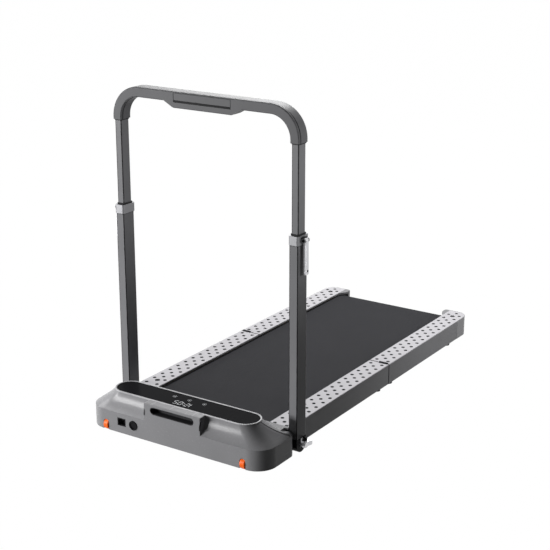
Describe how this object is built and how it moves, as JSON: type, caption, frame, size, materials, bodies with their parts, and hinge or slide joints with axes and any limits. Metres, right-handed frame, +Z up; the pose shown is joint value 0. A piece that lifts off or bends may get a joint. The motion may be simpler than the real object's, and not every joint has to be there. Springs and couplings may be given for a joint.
{
  "type": "folding walking pad",
  "caption": "Slim motorised walking pad whose deck folds in half, with a front housing, display, telescoping fold-down handrail, clamp levers and transport wheels.",
  "frame": {"origin": "middle of the overall box on the floor plane under the rubber feet", "axes": "X across the belt, Y along the belt from the front housing to the tail, Z up"},
  "size_m": [0.6892, 1.377, 1.03],
  "materials": {
    "moulded_grey": "fine satin moulding",
    "post_paint": "satin powder coat",
    "cover_alloy": "satin powder coat on an extruded section",
    "grip_plastic": "fine satin moulding",
    "strip_plastic": "pale satin moulding",
    "belt_rubber": "matt woven-look top face",
    "black_rubber": "matt",
    "deck_wood": "sealed board",
    "frame_paint": "satin black paint",
    "steel": "turned steel",
    "silver": "bright satin casting",
    "motor_paint": "satin paint",
    "black_plastic": "satin moulding",
    "display_ring": "silver-grey satin",
    "display_gloss": "high gloss",
    "circuit": "coated board",
    "wheel_orange": "satin moulding"
  },
  "bodies": {
    "front_deck": {"front_side_cover_left": "cover_alloy", "front_side_cover_right": "cover_alloy", "front_foot_strip_left": "strip_plastic", "front_foot_strip_right": "strip_plastic", "front_frame_tubes": "frame_paint", "front_cross_members": "frame_paint", "front_deck_board": "deck_wood", "front_belt_span": "belt_rubber", "front_hinge_blocks": "steel", "front_feet": "black_rubber", "hinge_pins": "steel", "roller_bearings": "steel", "drive_motor": "motor_paint", "drive_belt": "black_rubber", "motor_controller": "black_plastic", "head_cover": "moulded_grey", "head_base_pan": "frame_paint", "display_ring": "display_ring", "display_lens": "display_gloss", "display_board": "circuit", "carry_handle_cup": "black_plastic", "power_inlet": "black_plastic", "switch_housing": "black_plastic", "wheel_axles": "steel", "pivot_bolts": "steel"},
    "rear_deck": {"rear_side_cover_left": "cover_alloy", "rear_side_cover_right": "cover_alloy", "rear_foot_strip_left": "strip_plastic", "rear_foot_strip_right": "strip_plastic", "rear_frame_tubes": "frame_paint", "rear_cross_members": "frame_paint", "rear_deck_board": "deck_wood", "rear_belt_span": "belt_rubber", "rear_hinge_blocks": "steel", "rear_feet": "black_rubber", "tail_cap_left": "moulded_grey", "tail_cap_right": "moulded_grey", "tail_axle": "steel", "tail_axle_blocks": "steel", "tension_bolts": "steel"},
    "lower_posts": {"lower_post_left": "post_paint", "lower_post_right": "post_paint", "clamp_collars": "silver", "pivot_plugs": "black_plastic", "clamp_pins": "steel"},
    "handrail": {"upper_tube": "post_paint", "slide_bushes": "black_plastic", "handlebar_front_cover": "grip_plastic", "handlebar_rear_cover": "grip_plastic"},
    "tablet_rest": {"tablet_rest": "grip_plastic"},
    "clamp_lever_left": {"clamp_lever_left": "silver"},
    "clamp_lever_right": {"clamp_lever_right": "silver"},
    "lock_lever_left": {"lock_lever_left": "silver"},
    "lock_lever_right": {"lock_lever_right": "silver"},
    "transport_wheel_left": {"transport_wheel_left": "wheel_orange"},
    "transport_wheel_right": {"transport_wheel_right": "wheel_orange"},
    "drive_roller": {"drive_roller": "steel"},
    "tail_roller": {"tail_roller": "steel"},
    "motor_rotor": {"motor_rotor": "steel"},
    "power_switch": {"switch_rocker": "black_plastic"}
  },
  "joints": [
    {"name": "deck_fold", "type": "hinge", "parent": "front_deck", "child": "rear_deck", "pos_m": [0, 0.0945, 0.084], "axis": [1, 0, 0], "range_deg": [0, 180]},
    {"name": "handrail_fold", "type": "hinge", "parent": "front_deck", "child": "lower_posts", "pos_m": [0, -0.49, 0.036], "axis": [-1, 0, 0], "range_deg": [0, 83]},
    {"name": "handrail_slide", "type": "slide", "parent": "lower_posts", "child": "handrail", "axis": [0, 0, 1], "range_m": [-0.25, 0]},
    {"name": "rest_flip", "type": "hinge", "parent": "handrail", "child": "tablet_rest", "pos_m": [0, -0.5115, 1.0245], "axis": [-1, 0, 0], "range_deg": [0, 100]},
    {"name": "clamp_left_swing", "type": "hinge", "parent": "lower_posts", "child": "clamp_lever_left", "pos_m": [-0.3337, -0.49, 0.6545], "axis": [0, 1, 0], "range_deg": [0, 110]},
    {"name": "clamp_right_swing", "type": "hinge", "parent": "lower_posts", "child": "clamp_lever_right", "pos_m": [0.3337, -0.49, 0.6545], "axis": [0, -1, 0], "range_deg": [0, 110]},
    {"name": "lock_left_turn", "type": "hinge", "parent": "front_deck", "child": "lock_lever_left", "pos_m": [-0.33, -0.49, 0.036], "axis": [1, 0, 0], "range_deg": [0, 90]},
    {"name": "lock_right_turn", "type": "hinge", "parent": "front_deck", "child": "lock_lever_right", "pos_m": [0.33, -0.49, 0.036], "axis": [1, 0, 0], "range_deg": [0, 90]},
    {"name": "wheel_left_spin", "type": "hinge", "parent": "front_deck", "child": "transport_wheel_left", "pos_m": [-0.25, -0.6695, 0.0285], "axis": [1, 0, 0], "continuous": true},
    {"name": "wheel_right_spin", "type": "hinge", "parent": "front_deck", "child": "transport_wheel_right", "pos_m": [0.25, -0.6695, 0.0285], "axis": [1, 0, 0], "continuous": true},
    {"name": "switch_rock", "type": "hinge", "parent": "front_deck", "child": "power_switch", "pos_m": [-0.145, -0.6815, 0.05], "axis": [1, 0, 0], "range_deg": [-14, 0]},
    {"name": "drive_roller_spin", "type": "hinge", "parent": "front_deck", "child": "drive_roller", "pos_m": [0, -0.5605, 0.0509], "axis": [1, 0, 0], "continuous": true},
    {"name": "tail_roller_spin", "type": "hinge", "parent": "rear_deck", "child": "tail_roller", "pos_m": [0, 0.6405, 0.0509], "axis": [1, 0, 0], "continuous": true},
    {"name": "motor_spin", "type": "hinge", "parent": "front_deck", "child": "motor_rotor", "pos_m": [0, -0.6235, 0.056], "axis": [1, 0, 0], "continuous": true}
  ],
  "couplings": [
    {"joint": "tail_roller_spin", "follows": "drive_roller_spin", "ratio": 1},
    {"joint": "motor_spin", "follows": "drive_roller_spin", "ratio": 2.6}
  ]
}
